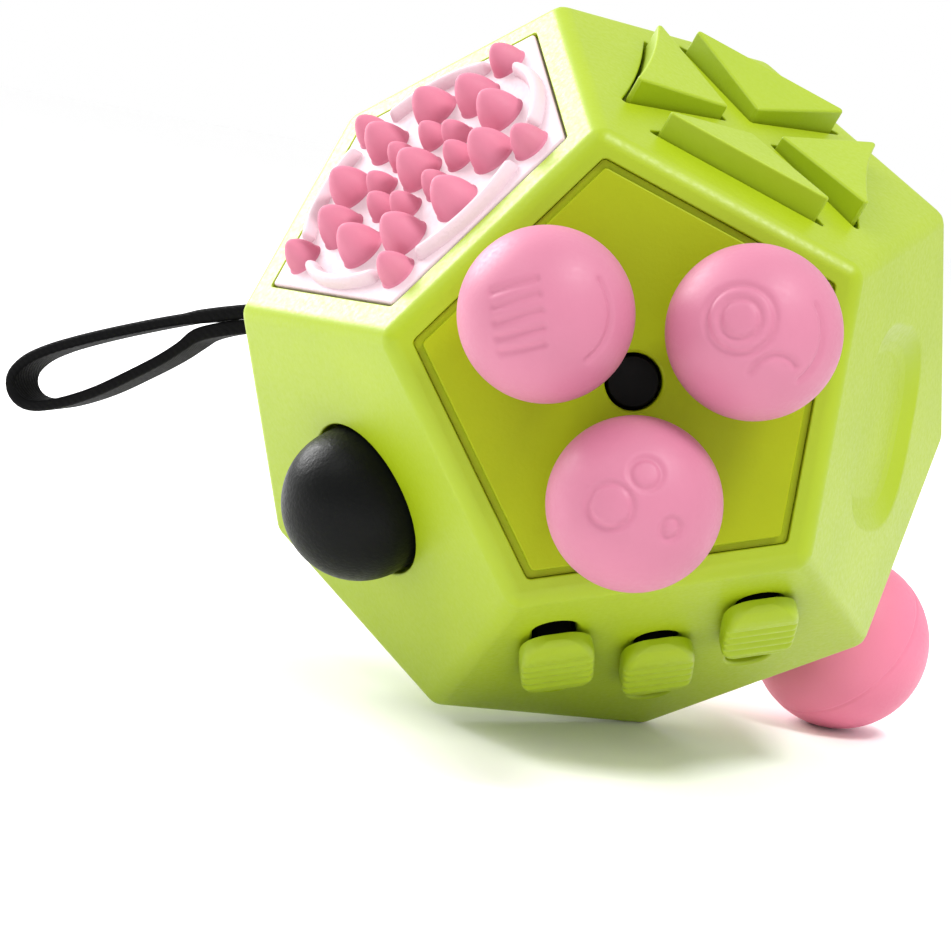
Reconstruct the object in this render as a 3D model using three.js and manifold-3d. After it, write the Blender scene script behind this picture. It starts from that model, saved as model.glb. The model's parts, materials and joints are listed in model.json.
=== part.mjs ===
// Twelve-sided fidget toy: a hollow dodecahedron with a different finger game on every face.
// Millimetres, +Z up. The toy stands on one corner and on its joystick ball, front face forward (-Y).

import * as THREE from 'three';
import { ConvexGeometry } from 'three/addons/geometries/ConvexGeometry.js';
import { mergeVertices } from 'three/addons/utils/BufferGeometryUtils.js';
import Module from 'manifold-3d';

const wasm = await Module();
wasm.setup();

// ---- driving dimensions ----

const ACROSS_FLATS = 50;
const WALL = 2;
const GAP = 0.3; // between pieces that touch or run in each other
const INNER_TOP = -WALL - 0.4; // where the pieces fixed behind a wall begin
const EDGE_CUT = 1; // how far the rounding of an edge reaches into each face
const STAND_LEAN = 5; // degrees that the front face looks up
const STAND_ROLL = -17.8; // degrees that the toy is rolled about its front axis

const FACE_DISTANCE = ACROSS_FLATS / 2;
const FACE_TILT = Math.atan(2); // angle between the normals of two neighbouring faces
const FACE_APOTHEM = FACE_DISTANCE * Math.tan(FACE_TILT / 2);
const SIXTH_OF_TURN = Math.PI / 5; // half the angle between two corners of a pentagon

const BALL = { radius: 6.45, height: 7.55, ring: 8.75, firstAngle: 17.4, bore: 1.3, pin: 1, bite: 2.5 };
const PLATE = { apothem: 13.1, step: 12.2, thickness: 2.4, stepDepth: 1.1, hole: 2.2, slit: 0.8 };
const PLATE_CAP = { flange: 3.2, thickness: 0.8, top: -1 };
const BALL_PIN_HEAD = { radius: 2, thickness: 0.7 };
const PAD = { apothem: 12.45, top: 0.1, bottom: -1.1, recess: 1.4, margin: 0.2 };
const NUB = {
  large: { base: 1.05, cap: 1.95, rim: 0.85, height: 2.75 },
  medium: { base: 0.8, cap: 1.5, rim: 0.7, height: 2.1 },
  small: { base: 0.7, cap: 1.3, rim: 0.6, height: 1.9 },
};
const NUB_RINGS = [
  { kind: 'large', count: 1, radius: 0, firstAngle: 90 },
  { kind: 'small', count: 8, radius: 4.1, firstAngle: 90 },
  { kind: 'large', count: 10, radius: 8, firstAngle: 90 },
  { kind: 'medium', count: 5, radius: 12, firstAngle: 54 },
];
const RIDGE = { radius: 11.5, width: 0.9, height: 0.7, halfAngle: 27 };
const ARROW = { lowTop: 1.1, highTop: 2.1, skirt: 0.8, skirtTop: -2.4, skirtBottom: -3.6 };
const SIDE_ARROW = { outer: 10.3, apex: 2.4, half: 7.4, sag: 0.5 };
const MIDDLE_ARROW = { outer: 10.6, apex: 2.9, half: 7.3, sag: 0 };
const MEMBRANE = { radius: 12, top: -5.4, thickness: 0.8, post: 1.6, postTop: -5 };
const DISH = { halfLength: 9.6, halfWidth: 9.4, depth: 1.3 };
const SLOT = { width: 3.8, length: 17 };
const SLIDER = {
  width: 5.9, length: 9.5, corner: 1.5, top: 2, stemWidth: 3, stemLength: 7,
  ribs: 4, ribPitch: 1.75, ribWidth: 0.5, ribDepth: 0.35,
};
const SLIDERS = [
  { x: -8, slotMiddle: 2.5, rest: 3.8 },
  { x: 0.2, slotMiddle: -3, rest: -0.6 },
  { x: 8.1, slotMiddle: 2.4, rest: 5.2 },
];
const FOOT = { width: 5.4, length: 9.4, top: -2.4, bottom: -3.4 };
const SLIDE_PLATE = { width: 25, length: 16, top: -3.8, bottom: -4.8 };
const DOME = { radius: 6.27, height: 0.57, hole: 6.72, skirt: 7.5, skirtTop: -2.4, skirtBottom: -3.4 };
const DOME_CARRIER = { radius: 6.6, top: -3.7, bottom: -4.9, stem: 1.6, stemTop: -0.6 };
const DOME_CUP = { outer: 9.2, inner: 8.2, bottom: -9.4, floor: 1 };
const DOME_SPRING = { radius: 4, turns: 3 };
const STICK = {
  ball: 8.05, ballHeight: 12.9, stem: 2.2, stemTop: 14.9, stemBottom: -7.9, pivot: -6,
  hole: 5.7, skirt: 6.6, skirtWall: 0.8, skirtAngle: 66,
};
const GIMBAL = { outer: 5.2, inner: 3.9, thickness: 3, pin: 0.6, pinHole: 0.95 };
const STICK_SPRING = { radius: 3, top: -8.8, turns: 1.5 };
const STICK_CUP = { outer: 8.5, inner: 7.2, bottom: -11.4, floor: 1 };
const SPRING_WIRE = { radius: 0.2, sides: 5 };
const ROCKER = { length: 12, width: 7, rise: 3.6, dip: 1.1, pin: 0.8, pivot: -2.3, swing: 9 };
const BEZEL = { width: 1.4, corner: 1.5, top: 0.6, bottom: -4 };
const STRAP = { thickness: 1.1, width: 4.6, hole: 6.6, margin: 0.6, pin: 0.9, pinDepth: -3.3 };
const CAGE = { length: 10, width: 9, bottom: -6, side: 1, end: 1.3, floor: 1 };
const WHEEL = { radius: 5, root: 4.3, width: 3, pitch: 3.8, depth: -3.2, teeth: 14, bore: 1.2, axle: 0.9 };
const BRACKET = { length: 15.6, width: 8, bottom: -9.8, sheet: 1.2 };
const CLICK = { radius: 2.6, top: 1.4, pitch: 7.2, flange: 3.3, flangeTop: -2.4, bottom: -3.4 };
const CLICK_PAD = { width: 6.6, top: -5.2, thickness: 0.8, post: 1.4, postTop: -4.85 };
const DIAL = {
  radius: 9.4, flute: 0.45, flutes: 20, bottom: 0.3, top: 2.6, hub: 2.6, hubBottom: -3.8, dimple: 3,
};
const CLIP = { radius: 4.6, thickness: 1 };
const LEAF = { length: 12, width: 3, thickness: 0.4 };

// The strap's centreline in the plane across its pin: distance out from the face, then upwards.
const STRAP_ROUTE = [
  [-2.8, 1.95], [0, 1.8], [3, 1.35], [6.5, 0.7], [10, -0.1], [13, -0.9], [17, -2.1], [22, -3.8],
  [26, -5.3], [29, -6.6], [31.2, -7.9], [32.5, -9.4], [32.5, -10.8], [31.5, -11.8], [29.8, -12],
  [27, -11.2], [23.5, -9.4], [20, -7], [16.5, -4.4], [13, -2.5], [10, -1.55], [6.5, -1.2],
  [3, -1.5], [0, -1.85], [-2.8, -1.95],
];
const STRAP_STEPS = 52;

// ---- materials ----

const paint = (color, roughness, metalness = 0) =>
  new THREE.MeshStandardMaterial({ color, roughness, metalness });
const LIME = { color: 0xb5d33d, roughness: 0.5 };
const OLIVE = { color: 0xa8b81e, roughness: 0.55 };
const PINK = { color: 0xf08cb0, roughness: 0.6 };
const PALE = { color: 0xf8dfe4, roughness: 0.6 };
const BLACK = { color: 0x16171a, roughness: 0.45 };
const STEEL = { color: 0xb9bcc0, roughness: 0.3, metalness: 1 };
const GREY = { color: 0x8d9094, roughness: 0.6 };

// ---- solids ----

/** Turns faces outward: a closed geometry whose enclosed volume is negative is turned inside out. */
function outward(geometry) {
  const indexed = geometry.index ? geometry : mergeVertices(geometry);
  const at = indexed.attributes.position;
  const index = indexed.index.array;
  const corners = [0, 1, 2].map(() => new THREE.Vector3());
  let volume = 0;
  for (let i = 0; i < index.length; i += 3) {
    corners.forEach((corner, j) => corner.fromBufferAttribute(at, index[i + j]));
    volume += corners[0].dot(corners[1].cross(corners[2]));
  }
  if (volume < 0) {
    for (let i = 0; i < index.length; i += 3) {
      [index[i], index[i + 1]] = [index[i + 1], index[i]];
    }
  }
  return indexed;
}

/** A closed geometry with shared vertices and no empty triangles. */
function welded(geometry) {
  const bare = geometry.clone();
  bare.deleteAttribute('normal');
  bare.deleteAttribute('uv');
  const merged = mergeVertices(bare, 1e-4);
  const kept = [];
  const index = merged.index.array;
  for (let i = 0; i < index.length; i += 3) {
    const [a, b, c] = [index[i], index[i + 1], index[i + 2]];
    if (a !== b && b !== c && c !== a) kept.push(a, b, c);
  }
  merged.setIndex(kept);
  return outward(merged);
}

function solid(geometry) {
  const merged = welded(geometry);
  return new wasm.Manifold(new wasm.Mesh({
    numProp: 3,
    vertProperties: Float32Array.from(merged.attributes.position.array),
    triVerts: Uint32Array.from(merged.index.array),
  }));
}

function geometryOf(manifold) {
  const mesh = manifold.getMesh();
  const geometry = new THREE.BufferGeometry();
  geometry.setAttribute('position', new THREE.BufferAttribute(mesh.vertProperties, mesh.numProp));
  geometry.setIndex(new THREE.BufferAttribute(mesh.triVerts, 1));
  return geometry;
}

const join = (geometries) => geometryOf(geometries.map(solid).reduce((a, b) => a.add(b)));

const cut = (geometry, cutters) =>
  geometryOf(cutters.map(solid).reduce((rest, cutter) => rest.subtract(cutter), solid(geometry)));

// ---- shapes ----

const degrees = THREE.MathUtils.degToRad;
const polar = (radius, angle) => [radius * Math.cos(degrees(angle)), radius * Math.sin(degrees(angle))];

function outline(points) {
  return new THREE.Shape(points.map(([x, y]) => new THREE.Vector2(x, y)));
}

/** A pentagon with an edge upwards, or with a corner upwards. */
function pentagon(apothem, cornerUp = false) {
  const first = cornerUp ? 90 : 54;
  const radius = apothem / Math.cos(SIXTH_OF_TURN);
  return outline([0, 1, 2, 3, 4].map((i) => polar(radius, first + 72 * i)));
}

function roundedBox(width, length, radius) {
  const [x, y] = [width / 2, length / 2];
  const shape = new THREE.Shape();
  shape.absarc(x - radius, y - radius, radius, 0, Math.PI / 2);
  shape.absarc(radius - x, y - radius, radius, Math.PI / 2, Math.PI);
  shape.absarc(radius - x, radius - y, radius, Math.PI, 1.5 * Math.PI);
  shape.absarc(x - radius, radius - y, radius, 1.5 * Math.PI, 2 * Math.PI);
  return shape;
}

function prism(shape, bottom, top, curveSegments = 6) {
  const options = { depth: top - bottom, bevelEnabled: false, curveSegments };
  return new THREE.ExtrudeGeometry(shape, options).translate(0, 0, bottom);
}

/** A body turned about Z from a profile of [radius, height]; it starts and ends on the axis or closes. */
function turned(profile, segments = 20) {
  const points = profile.map(([radius, height]) => new THREE.Vector2(radius, height));
  return new THREE.LatheGeometry(points, segments).rotateX(Math.PI / 2);
}

function rod(radius, bottom, top, segments = 14) {
  return turned([[0, bottom], [radius, bottom], [radius, top], [0, top]], segments);
}

function ring(outer, inner, bottom, top, segments = 18) {
  return turned([[inner, bottom], [outer, bottom], [outer, top], [inner, top], [inner, bottom]], segments);
}

function box(width, length, bottom, top) {
  return new THREE.BoxGeometry(width, length, top - bottom).translate(0, 0, (top + bottom) / 2);
}

/** A cup, open at the top. */
function cup({ outer, inner, bottom, floor }, top) {
  const inside = bottom + floor;
  const profile = [[0, bottom], [outer, bottom], [outer, top], [inner, top], [inner, inside], [0, inside]];
  return turned(profile, 22);
}

class Helix extends THREE.Curve {
  constructor(radius, bottom, top, turns) {
    super();
    Object.assign(this, { radius, bottom, top, turns });
  }

  getPoint(t, target = new THREE.Vector3()) {
    const angle = 2 * Math.PI * this.turns * t;
    const height = this.bottom + (this.top - this.bottom) * t;
    return target.set(this.radius * Math.cos(angle), this.radius * Math.sin(angle), height);
  }
}

function coil(radius, bottom, top, turns) {
  const wire = outline([...Array(SPRING_WIRE.sides).keys()].map((i) =>
    polar(SPRING_WIRE.radius, (i * 360) / SPRING_WIRE.sides)));
  const extrudePath = new Helix(radius, bottom + SPRING_WIRE.radius, top - SPRING_WIRE.radius, turns);
  const steps = Math.round(turns * 9);
  return new THREE.ExtrudeGeometry(wire, { extrudePath, steps, bevelEnabled: false });
}

// ---- the twelve faces ----

/** A face's place: origin in its middle, Z outward, Y towards the front or, behind, towards the back. */
function faceMatrix(number, behind = false) {
  const turn = degrees(198 - 72 * number);
  const front = new THREE.Vector3(0, 0, 1);
  const normal = number === 0
    ? front.clone()
    : new THREE.Vector3(
      Math.sin(FACE_TILT) * Math.cos(turn), Math.sin(FACE_TILT) * Math.sin(turn), Math.cos(FACE_TILT));
  const forward = behind ? front.negate() : front;
  if (behind) normal.negate();
  const up = number === 0
    ? new THREE.Vector3(0, 1, 0)
    : forward.clone().addScaledVector(normal, -forward.dot(normal)).normalize();
  const across = up.clone().cross(normal);
  return new THREE.Matrix4()
    .makeBasis(across, up, normal)
    .setPosition(normal.clone().multiplyScalar(FACE_DISTANCE));
}

const FACES = {
  balls: faceMatrix(0),
  massage: faceMatrix(1),
  arrows: faceMatrix(2),
  dish: faceMatrix(3),
  sliders: faceMatrix(4),
  dome: faceMatrix(5),
  dial: faceMatrix(0, true),
  joystick: faceMatrix(1, true),
  rocker: faceMatrix(2, true),
  strap: faceMatrix(3, true),
  wheels: faceMatrix(4, true),
  clicks: faceMatrix(5, true),
};
const FRONT_FACES = ['balls', 'massage', 'arrows', 'dish', 'sliders', 'dome'];

/** The corners of a face, scaled about the toy's middle, with its edges cut back. */
function faceCorners(name, scale = 1, cutBack = 0) {
  const first = name === 'balls' ? 90 : 54;
  const radius = (FACE_APOTHEM - cutBack) / Math.cos(SIXTH_OF_TURN);
  return [0, 1, 2, 3, 4].map((i) => {
    const [x, y] = polar(radius, first + 72 * i);
    return new THREE.Vector3(x, y, 0).applyMatrix4(FACES[name]).multiplyScalar(scale);
  });
}

function dodecahedron(faceDistance, cutBack) {
  const scale = faceDistance / FACE_DISTANCE;
  return new ConvexGeometry(Object.keys(FACES).flatMap((name) => faceCorners(name, scale, cutBack)));
}

/** The space of the six front faces: joined pyramids from the middle, moved along the front axis. */
function frontSpace(shift) {
  const reach = 2;
  const middle = new THREE.Vector3();
  const triangles = [];
  for (const name of FRONT_FACES) {
    const corners = faceCorners(name, reach);
    for (let i = 1; i < 4; i += 1) triangles.push(corners[0], corners[i], corners[i + 1]);
    if (name === 'balls') continue;
    for (const i of [2, 3]) triangles.push(middle, corners[i + 1], corners[i]);
  }
  return new THREE.BufferGeometry().setFromPoints(triangles).translate(0, 0, shift);
}

const onFace = (name, geometry) => geometry.clone().applyMatrix4(FACES[name]);

// ---- outlines that a piece and its opening share ----

/** An arrow button seen from above, pointing at the middle from +X; grown by a margin on every side. */
function arrowOutline({ outer, apex, half, sag }, margin = 0) {
  const slope = half / (outer - apex);
  const tip = apex - margin / Math.sin(Math.atan(slope));
  const edge = outer + margin;
  const reach = slope * (edge - tip);
  const shape = new THREE.Shape();
  shape.moveTo(tip, 0);
  shape.lineTo(edge, -reach);
  shape.quadraticCurveTo(edge - 2 * sag, 0, edge, reach);
  return shape;
}

const ARROWS = [
  { name: 'arrow_button_right', angle: 0, size: SIDE_ARROW },
  { name: 'arrow_button_near', angle: 90, size: MIDDLE_ARROW },
  { name: 'arrow_button_left', angle: 180, size: SIDE_ARROW },
  { name: 'arrow_button_far', angle: 270, size: MIDDLE_ARROW },
];
const CLICKS = [-1, 0, 1].map((step) => step * CLICK.pitch);
const BALL_ANGLES = [0, 1, 2].map((i) => BALL.firstAngle + 120 * i);

// ---- the case ----

const OUTSIDE = 3; // how far a cutter starts outside a face
const THROUGH = -WALL - 1.5;

function frontCutters() {
  const recess = (name, shape, depth) => onFace(name, prism(shape, depth, OUTSIDE));
  return [
    recess('balls', pentagon(PLATE.apothem + PLATE.slit, true), -PLATE.stepDepth - GAP),
    recess('balls', pentagon(PLATE.step, true), THROUGH),
    recess('massage', pentagon(PAD.apothem + PAD.margin), -PAD.recess),
    ...ARROWS.map(({ angle, size }) =>
      onFace('arrows', prism(arrowOutline(size, GAP), THROUGH, OUTSIDE).rotateZ(degrees(angle)))),
    onFace('dish', new THREE.SphereGeometry(1, 24, 14).scale(DISH.halfLength, DISH.halfWidth, DISH.depth)),
    ...SLIDERS.map(({ x, slotMiddle }) => onFace('sliders',
      prism(roundedBox(SLOT.width, SLOT.length, SLOT.width / 2 - 0.01), THROUGH, OUTSIDE)
        .translate(x, slotMiddle, 0))),
    onFace('dome', rod(DOME.hole, THROUGH, OUTSIDE, 28)),
  ];
}

function backCutters() {
  const bezelRoom = 2 * BEZEL.width + 4 * GAP;
  return [
    onFace('joystick', rod(STICK.hole, THROUGH, OUTSIDE, 32)),
    onFace('rocker', box(ROCKER.length + bezelRoom, ROCKER.width + bezelRoom, THROUGH, OUTSIDE)),
    onFace('strap', box(STRAP.hole, STRAP.width + 2 * STRAP.margin, THROUGH, OUTSIDE)),
    onFace('wheels', box(3 * WHEEL.pitch + 1, 2 * WHEEL.radius + 0.8, THROUGH, OUTSIDE)),
    ...CLICKS.map((x) => onFace('clicks', rod(CLICK.radius + GAP, THROUGH, OUTSIDE).translate(x, 0, 0))),
    onFace('dial', rod(DIAL.hub + GAP, THROUGH, OUTSIDE)),
  ];
}

const hull = solid(dodecahedron(FACE_DISTANCE, EDGE_CUT))
  .subtract(solid(dodecahedron(FACE_DISTANCE - WALL, EDGE_CUT / 2)));
const carve = (manifold, cutters) =>
  geometryOf(cutters.map(solid).reduce((rest, cutter) => rest.subtract(cutter), manifold));
const frontShell = carve(hull.intersect(solid(frontSpace(GAP / 2))), frontCutters());
const backShell = carve(hull.subtract(solid(frontSpace(-GAP / 2))), backCutters());

// ---- the toy, standing ----

const toy = new THREE.Group();
const faceGroups = {};
for (const [name, matrix] of Object.entries(FACES)) {
  const group = new THREE.Group();
  group.applyMatrix4(matrix);
  toy.add(group);
  faceGroups[name] = group;
}

function place(parent, name, geometry, finish) {
  const shape = geometry.attributes.uv ? welded(geometry) : geometry;
  shape.computeVertexNormals();
  const mesh = new THREE.Mesh(shape, paint(finish.color, finish.roughness, finish.metalness));
  mesh.name = name;
  parent.add(mesh);
  return mesh;
}

place(toy, 'front_shell', frontShell, LIME);
place(toy, 'back_shell', backShell, LIME);

// ---- front face: three spinning balls on a plate ----

function addBallFace(face) {
  const upper = prism(pentagon(PLATE.apothem, true), -PLATE.stepDepth, 0);
  const lower = prism(pentagon(PLATE.step - GAP, true), -PLATE.thickness, -PLATE.stepDepth + 0.01);
  const spots = BALL_ANGLES.map((angle) => polar(BALL.ring, angle));
  const pinHole = () => rod(BALL.pin + GAP, -PLATE.thickness - 1, 1);
  place(face, 'ball_plate', cut(join([upper, lower]), [
    rod(PLATE.hole, -PLATE.thickness - 1, 1),
    ...spots.map(([x, y]) => pinHole().translate(x, y, 0)),
  ]), OLIVE);
  const under = -PLATE.thickness - GAP;
  const capStem = PLATE.hole - GAP;
  const { flange, thickness, top } = PLATE_CAP;
  place(face, 'plate_cap', turned([
    [0, under - thickness], [flange, under - thickness], [flange, under],
    [capStem, under], [capStem, top], [0, top],
  ]), BLACK);
  spots.forEach(([x, y], i) => {
    const boreTop = BALL.height + BALL.bite;
    const round = new THREE.SphereGeometry(BALL.radius, 18, 11).rotateX(Math.PI / 2);
    const ball = cut(round.translate(0, 0, BALL.height), [rod(BALL.bore, 0, boreTop)]);
    place(face, `spin_ball_${i + 1}`, ball.translate(x, y, 0), PINK);
    const head = BALL_PIN_HEAD;
    place(face, `ball_pin_${i + 1}`, turned([
      [0, under - head.thickness], [head.radius, under - head.thickness], [head.radius, under],
      [BALL.pin, under], [BALL.pin, boreTop - GAP], [0, boreTop - GAP],
    ], 12).translate(x, y, 0), STEEL);
  });
}

// ---- massage face: a soft pad with nubs between five ridges ----

function nub({ base, cap, rim, height }) {
  const profile = [[0, PAD.top - 0.3], [base, PAD.top - 0.3], [cap, rim + 0.2]];
  const [across, up] = polar(1, 48);
  profile.push([cap * across, rim + 0.2 + (height - rim - 0.2) * up], [0, height]);
  return turned(profile, 8);
}

function addMassageFace(face) {
  const pieces = [prism(pentagon(PAD.apothem), PAD.bottom, PAD.top)];
  for (const { kind, count, radius, firstAngle } of NUB_RINGS) {
    for (let i = 0; i < count; i += 1) {
      const [x, y] = polar(radius, firstAngle + (360 / count) * i);
      pieces.push(nub(NUB[kind]).translate(x, y, 0));
    }
  }
  for (let i = 0; i < 5; i += 1) {
    const middle = degrees(90 + 72 * i);
    const half = degrees(RIDGE.halfAngle);
    const ridge = new THREE.Shape();
    ridge.absarc(0, 0, RIDGE.radius + RIDGE.width / 2, middle - half, middle + half);
    ridge.absarc(0, 0, RIDGE.radius - RIDGE.width / 2, middle + half, middle - half, true);
    pieces.push(prism(ridge, PAD.top - 0.3, PAD.top + RIDGE.height, 4));
  }
  place(face, 'massage_pad', join(pieces), PALE);
}

// ---- arrow face: four buttons round a cross ----

function arrowButton(size) {
  const body = prism(arrowOutline(size), ARROW.skirtTop - 0.1, 1);
  const at = body.attributes.position;
  const rise = (ARROW.highTop - ARROW.lowTop) / (size.outer - size.apex);
  for (let i = 0; i < at.count; i += 1) {
    if (at.getZ(i) > 0) at.setZ(i, ARROW.lowTop + rise * (at.getX(i) - size.apex));
  }
  return join([body, prism(arrowOutline(size, ARROW.skirt), ARROW.skirtBottom, ARROW.skirtTop)]);
}

function addArrowFace(face) {
  for (const { name, angle, size } of ARROWS) {
    place(face, name, arrowButton(size).rotateZ(degrees(angle)), LIME);
  }
  const { radius, top, thickness, post, postTop } = MEMBRANE;
  place(face, 'button_membrane', join([
    rod(radius, top - thickness, top, 20),
    ...ARROWS.map(({ angle, size }) => {
      const [x, y] = polar((size.outer + size.apex) / 2, angle);
      return rod(post, top - 0.1, postTop, 8).translate(x, y, 0);
    }),
  ]), GREY);
}

// ---- slider face ----

function addSliderFace(face) {
  const { width, length, corner, top, stemWidth, stemLength, ribs, ribPitch, ribWidth, ribDepth } = SLIDER;
  SLIDERS.forEach(({ x, rest }, i) => {
    const grooves = [...Array(ribs).keys()].map((rib) =>
      box(width + 1, ribWidth, top - ribDepth, top + 1).translate(0, (rib - (ribs - 1) / 2) * ribPitch, 0));
    const cap = cut(join([
      prism(roundedBox(width, length, corner), GAP, top),
      box(stemWidth, stemLength, FOOT.bottom - 0.1, GAP + 0.1),
    ]), grooves);
    place(face, `slider_cap_${i + 1}`, cap.translate(x, rest, 0), LIME);
    const footHole = box(stemWidth + 2 * GAP, stemLength + 2 * GAP, FOOT.bottom - 1, 0);
    const foot = cut(box(FOOT.width, FOOT.length, FOOT.bottom, FOOT.top), [footHole]);
    place(face, `slider_foot_${i + 1}`, foot.translate(x, rest, 0), GREY);
  });
  const plate = SLIDE_PLATE;
  place(face, 'slide_plate', box(plate.width, plate.length, plate.bottom, plate.top), GREY);
}

// ---- dome face: a turning dome on a sprung carrier ----

function addDomeFace(face) {
  const { radius, height, skirt, skirtTop, skirtBottom } = DOME;
  const boreRadius = DOME_CARRIER.stem + GAP;
  const boreTop = DOME_CARRIER.stemTop + GAP;
  const profile = [[boreRadius, skirtBottom], [skirt, skirtBottom], [skirt, skirtTop], [radius, skirtTop]];
  for (let angle = 0; angle < 90; angle += 15) {
    const [across, up] = polar(radius, angle);
    profile.push([across, height + up]);
  }
  profile.push([0, height + radius], [0, boreTop], [boreRadius, boreTop], [boreRadius, skirtBottom]);
  place(face, 'dome', turned(profile), BLACK);
  const carrier = DOME_CARRIER;
  place(face, 'dome_carrier', turned([
    [0, carrier.bottom], [carrier.radius, carrier.bottom], [carrier.radius, carrier.top],
    [carrier.stem, carrier.top], [carrier.stem, carrier.stemTop], [0, carrier.stemTop],
  ]), GREY);
  place(face, 'dome_cup', cup(DOME_CUP, INNER_TOP), GREY);
  const springBottom = DOME_CUP.bottom + DOME_CUP.floor + GAP;
  place(face, 'dome_spring',
    coil(DOME_SPRING.radius, springBottom, carrier.bottom - GAP, DOME_SPRING.turns), STEEL);
}

// ---- joystick face: a ball on a stick in a gimbal ----

function addJoystickFace(face) {
  const { ball, ballHeight, stem, stemTop, stemBottom, pivot, skirt, skirtWall, skirtAngle } = STICK;
  place(face, 'joystick_ball', cut(
    new THREE.SphereGeometry(ball, 22, 13).rotateX(Math.PI / 2).translate(0, 0, ballHeight),
    [rod(stem + GAP, 0, stemTop + GAP)]), PINK);
  const crossHole = (radius) => rod(radius, -20, 20, 12).rotateX(Math.PI / 2).translate(0, 0, pivot);
  const sideHole = (radius) => rod(radius, -20, 20, 12).rotateY(Math.PI / 2).translate(0, 0, pivot);
  place(face, 'joystick_stem', cut(rod(stem, stemBottom, stemTop), [crossHole(GIMBAL.pinHole)]), GREY);
  const arc = (radius, angles) => angles.map((angle) => {
    const [up, across] = polar(radius, angle);
    return [across, pivot + up];
  });
  const rimAngle = THREE.MathUtils.radToDeg(Math.asin((stem + GAP) / skirt));
  const steps = [0, 0.33, 0.67, 1].map((t) => rimAngle + (skirtAngle - rimAngle) * t);
  const outside = arc(skirt, steps);
  const inside = arc(skirt - skirtWall, [...steps].reverse());
  inside[inside.length - 1][0] = outside[0][0];
  place(face, 'stem_skirt', turned([...outside, ...inside, outside[0]]), BLACK);
  const pinHalf = GIMBAL.outer - 0.2;
  place(face, 'stem_pin', rod(GIMBAL.pin, -pinHalf, pinHalf, 12)
    .rotateX(Math.PI / 2).translate(0, 0, pivot), STEEL);
  const half = GIMBAL.thickness / 2;
  place(face, 'gimbal_ring', cut(
    ring(GIMBAL.outer, GIMBAL.inner, pivot - half, pivot + half, 20),
    [crossHole(GIMBAL.pinHole), sideHole(GIMBAL.pinHole)]), GREY);
  [-1, 1].forEach((side, i) => {
    const pin = rod(GIMBAL.pin, GIMBAL.inner + GAP, STICK_CUP.outer - 0.2, 12).rotateY(Math.PI / 2);
    place(face, `gimbal_pin_${i + 1}`, pin.scale(side, 1, 1).translate(0, 0, pivot), STEEL);
  });
  place(face, 'joystick_cup', cut(cup(STICK_CUP, INNER_TOP), [sideHole(GIMBAL.pinHole)]), GREY);
  const springBottom = STICK_CUP.bottom + STICK_CUP.floor + GAP;
  place(face, 'joystick_spring',
    coil(STICK_SPRING.radius, springBottom, STICK_SPRING.top, STICK_SPRING.turns), STEEL);
}

// ---- rocker face ----

function addRockerFace(face) {
  const { length, width, rise, dip, pin, pivot, swing } = ROCKER;
  const [across, along] = [length + 2 * GAP, width + 2 * GAP];
  const sideRod = (radius, half) => rod(radius, -half, half, 12).rotateX(Math.PI / 2);
  const bezel = roundedBox(across + 2 * BEZEL.width, along + 2 * BEZEL.width, BEZEL.corner);
  place(face, 'rocker_frame', cut(prism(bezel, BEZEL.bottom, BEZEL.top), [
    box(across, along, BEZEL.bottom - 1, BEZEL.top + 1),
    sideRod(pin + GAP, width / 2 + BEZEL.width).translate(0, 0, pivot),
  ]), BLACK);
  const [foot, top] = [length / 2 - 0.6, length / 2 - 0.5];
  const profile = outline([
    [-foot, -1.2], [0, -1.7], [foot, -1.2], [top, rise], [0, rise - dip], [-top, rise],
  ]);
  const body = prism(profile, -width / 2, width / 2).rotateX(Math.PI / 2);
  place(face, 'rocker', cut(body, [sideRod(pin + GAP, width)])
    .rotateY(degrees(swing)).translate(0, 0, pivot), OLIVE);
  place(face, 'rocker_pin', sideRod(pin, along / 2 + BEZEL.width - 2 * GAP).translate(0, 0, pivot), STEEL);
}

// ---- strap face: a wrist strap looped through a hole, over a pin in a small cage ----

function strapBand() {
  const route = new THREE.CatmullRomCurve3(STRAP_ROUTE.map(([out, up]) => new THREE.Vector3(out, up, 0)));
  const steps = [...Array(STRAP_STEPS + 1).keys()].map((i) => i / STRAP_STEPS);
  const side = (distance) => steps.map((t) => {
    const at = route.getPointAt(t);
    const along = route.getTangentAt(t);
    return [at.x - along.y * distance, at.y + along.x * distance];
  });
  const half = STRAP.thickness / 2;
  const band = outline([...side(half), ...side(-half).reverse()]);
  const turn = new THREE.Matrix4().makeBasis(
    new THREE.Vector3(0, 0, 1), new THREE.Vector3(1, 0, 0), new THREE.Vector3(0, 1, 0));
  return prism(band, -STRAP.width / 2, STRAP.width / 2).applyMatrix4(turn);
}

function addStrapFace(face) {
  const { length, width, bottom, side, end, floor } = CAGE;
  const pin = (radius, half) =>
    rod(radius, -half, half, 12).rotateX(Math.PI / 2).translate(0, 0, STRAP.pinDepth);
  place(face, 'strap_cage', cut(box(length, width, bottom, INNER_TOP), [
    box(length - 2 * side, width - 2 * end, bottom + floor, 0),
    pin(STRAP.pin + GAP, width),
  ]), GREY);
  place(face, 'strap_pin', pin(STRAP.pin, width / 2 - 0.2), STEEL);
  return place(face, 'wrist_strap', strapBand(), BLACK);
}

// ---- wheel face: three toothed wheels on one axle ----

function toothedWheel() {
  const { radius, root, width, teeth, bore } = WHEEL;
  const tooth = [[-0.3, root], [-0.15, radius], [0.15, radius], [0.3, root]]; // share of the pitch, radius
  const points = [...Array(teeth).keys()].flatMap((i) =>
    tooth.map(([share, reach]) => polar(reach, (i + share) * (360 / teeth))));
  return cut(prism(outline(points), -width / 2, width / 2), [rod(bore, -width, width)]);
}

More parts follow.
